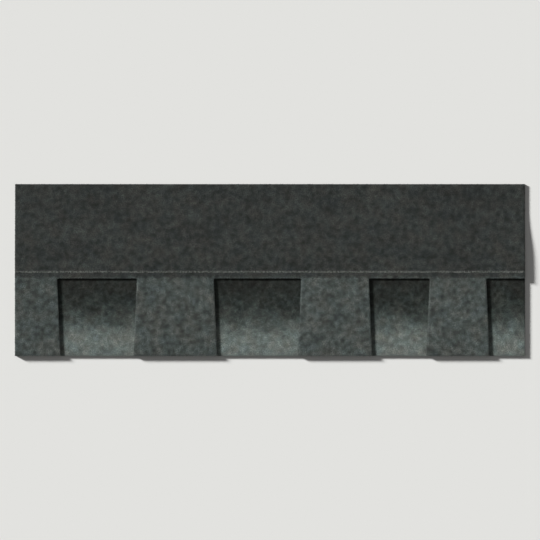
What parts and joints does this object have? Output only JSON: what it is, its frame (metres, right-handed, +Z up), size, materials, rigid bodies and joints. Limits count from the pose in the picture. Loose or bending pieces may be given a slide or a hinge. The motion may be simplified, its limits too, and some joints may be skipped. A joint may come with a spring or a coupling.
{
  "type": "laminated asphalt shingle",
  "caption": "Laminated asphalt roofing shingle lying flat, with dovetailed teeth over a backing strip that shows in the gaps between them.",
  "frame": {"origin": "on the floor, under the middle of the shingle", "axes": "+X along the shingle, +Y from the butt edge to the top edge, up the roof, +Z up through the granule side"},
  "size_m": [1, 0.337, 0.0062],
  "materials": {
    "tooth_granules": "mineral granules on asphalt",
    "backing_granules": "mineral granules on asphalt",
    "seal_asphalt": "tacky asphalt",
    "clear_film": "clear polyester film"
  },
  "bodies": {
    "root": {"tooth_sheet": "tooth_granules", "backing_strip": "backing_granules", "seal_strip": "seal_asphalt", "release_film": "clear_film"}
  },
  "joints": []
}
